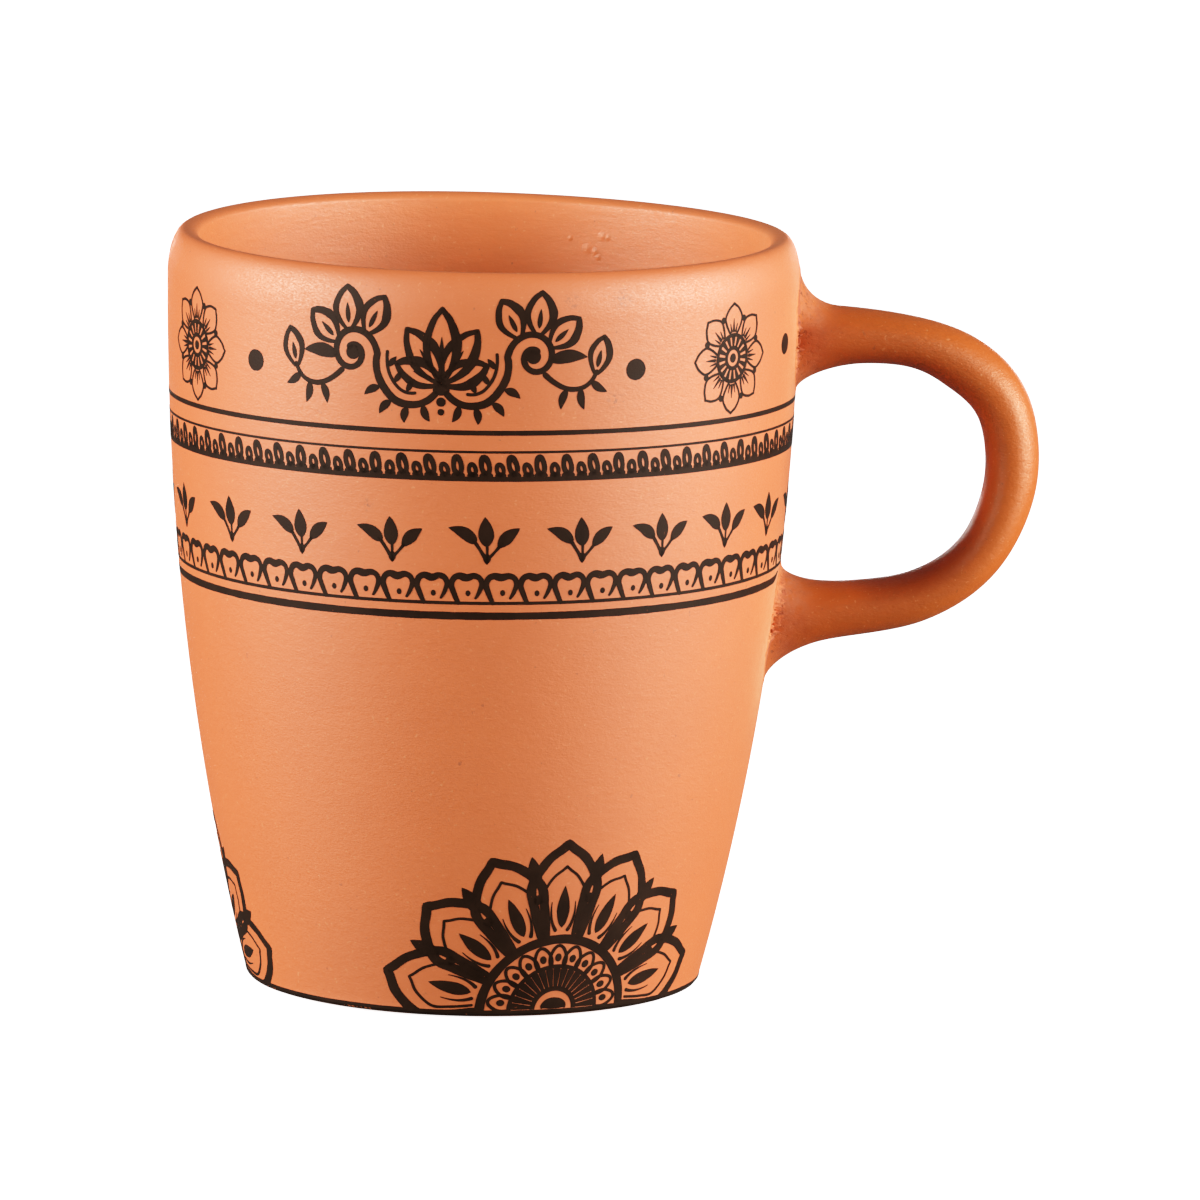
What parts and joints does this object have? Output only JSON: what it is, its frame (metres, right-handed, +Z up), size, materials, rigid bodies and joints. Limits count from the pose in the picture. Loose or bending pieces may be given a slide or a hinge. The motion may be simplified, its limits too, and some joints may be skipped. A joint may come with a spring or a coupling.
{
  "type": "coffee cup",
  "caption": "Tall clay coffee cup whose wall curves out from a foot ring to a rolled lip, with a bowed side handle joined on with slip.",
  "frame": {"origin": "centre of the whole outline, cup and handle together, on the table the cup stands on", "axes": "+Z up along the turning axis, +X from the cup towards the handle, which lies in the X-Z plane"},
  "size_m": [0.1107, 0.08, 0.0954],
  "materials": {
    "body_clay": "satin",
    "handle_clay": "satin",
    "slip_clay": "matte",
    "print_ink": "satin"
  },
  "bodies": {
    "root": {"cup_body": "body_clay", "handle": "handle_clay", "upper_slip_joint": "slip_clay", "lower_slip_joint": "slip_clay"}
  },
  "joints": []
}
